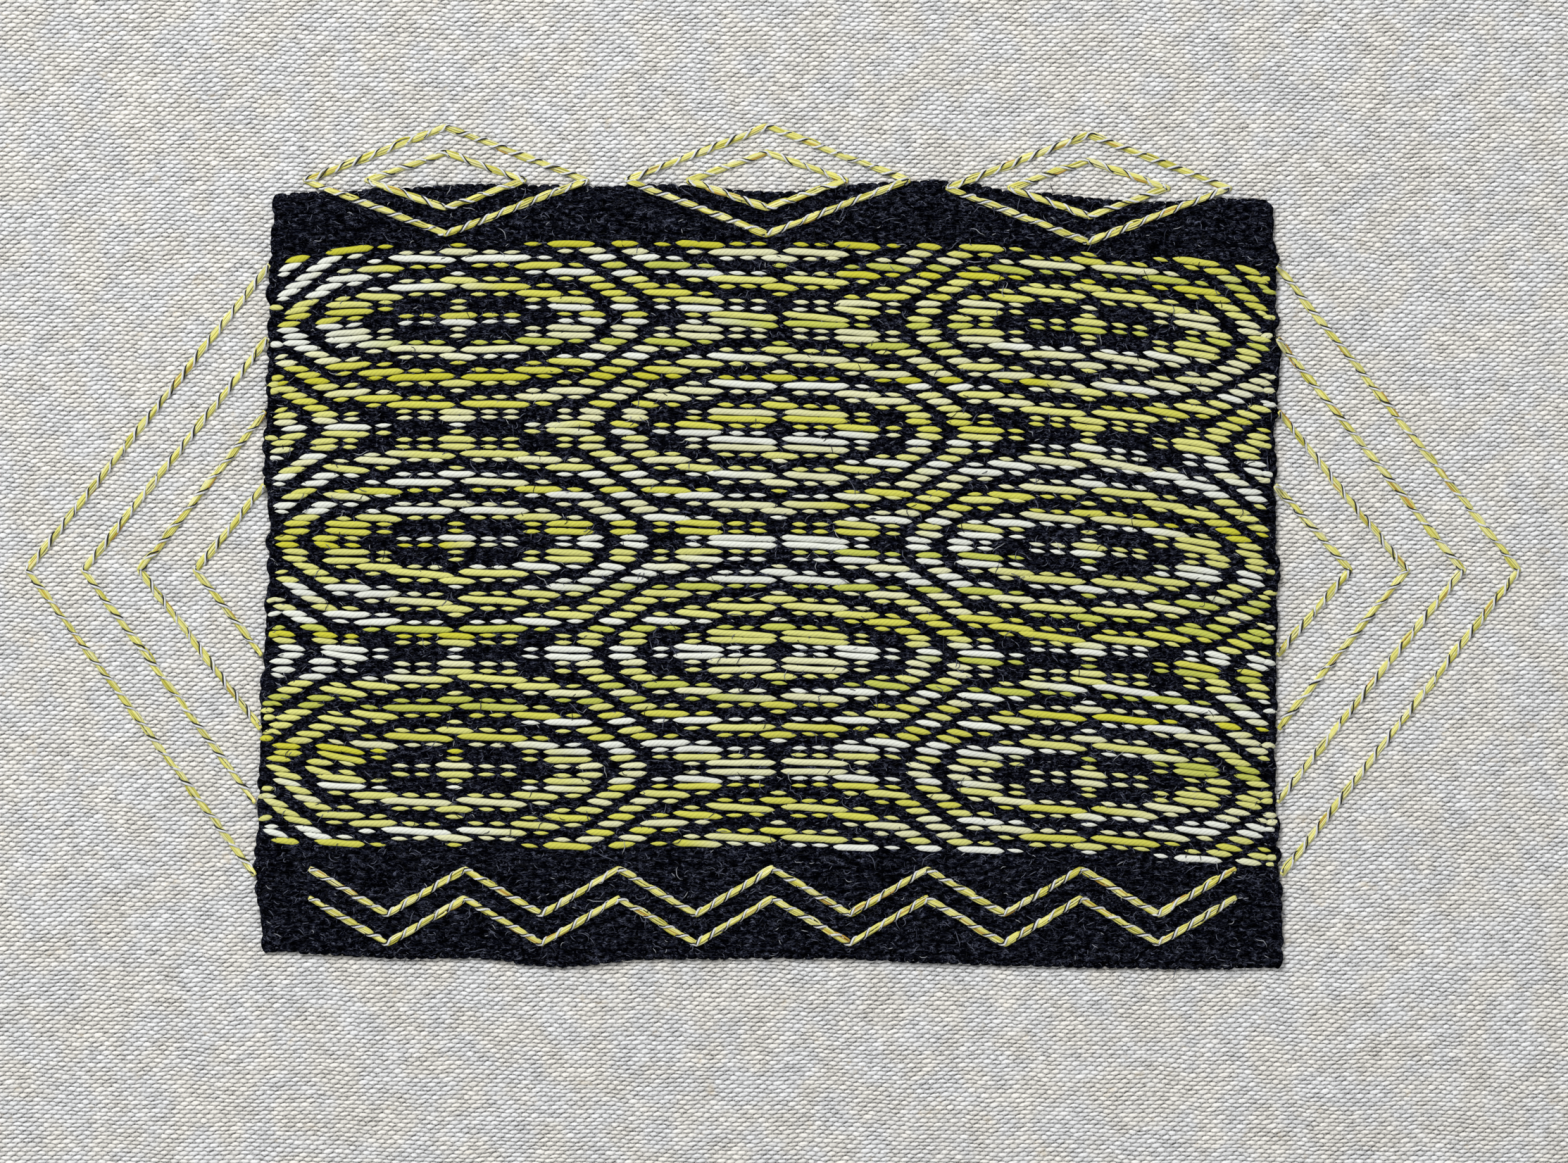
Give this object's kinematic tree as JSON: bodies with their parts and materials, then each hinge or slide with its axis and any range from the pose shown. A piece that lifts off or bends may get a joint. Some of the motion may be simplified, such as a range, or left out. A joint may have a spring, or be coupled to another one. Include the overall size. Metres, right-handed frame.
{
  "type": "woven tapestry on canvas",
  "caption": "Overshot woven panel sewn flat on a canvas ground, with nested lines of whipped running stitch worked through both cloths.",
  "frame": {"origin": "middle of the canvas ground's flat underside", "axes": "+X to the right of the woven panel, +Y to its top edge, +Z out of its face"},
  "size_m": [0.292, 0.22, 0.004],
  "materials": {
    "canvas": "unbleached off-white plain-weave cotton duck",
    "woven_wool": "fuzzy dark navy wool ground",
    "pattern_yarn": "space-dyed yellow, lime, cream and white two-ply cotton",
    "floss": "stranded yellow embroidery cotton",
    "whip_thread": "fine black and silver-white sewing thread"
  },
  "bodies": {
    "root": {"canvas_ground": "canvas", "woven_panel": "woven_wool", "chevron_left_1": "floss", "chevron_left_2": "floss", "chevron_left_3": "floss", "chevron_left_4": "floss", "chevron_right_1": "floss", "chevron_right_2": "floss", "chevron_right_3": "floss", "chevron_right_4": "floss", "lozenge_left_outer": "floss", "lozenge_left_inner": "floss", "lozenge_middle_outer": "floss", "lozenge_middle_inner": "floss", "lozenge_right_outer": "floss", "lozenge_right_inner": "floss", "zigzag_upper": "floss", "zigzag_lower": "floss"}
  },
  "joints": []
}
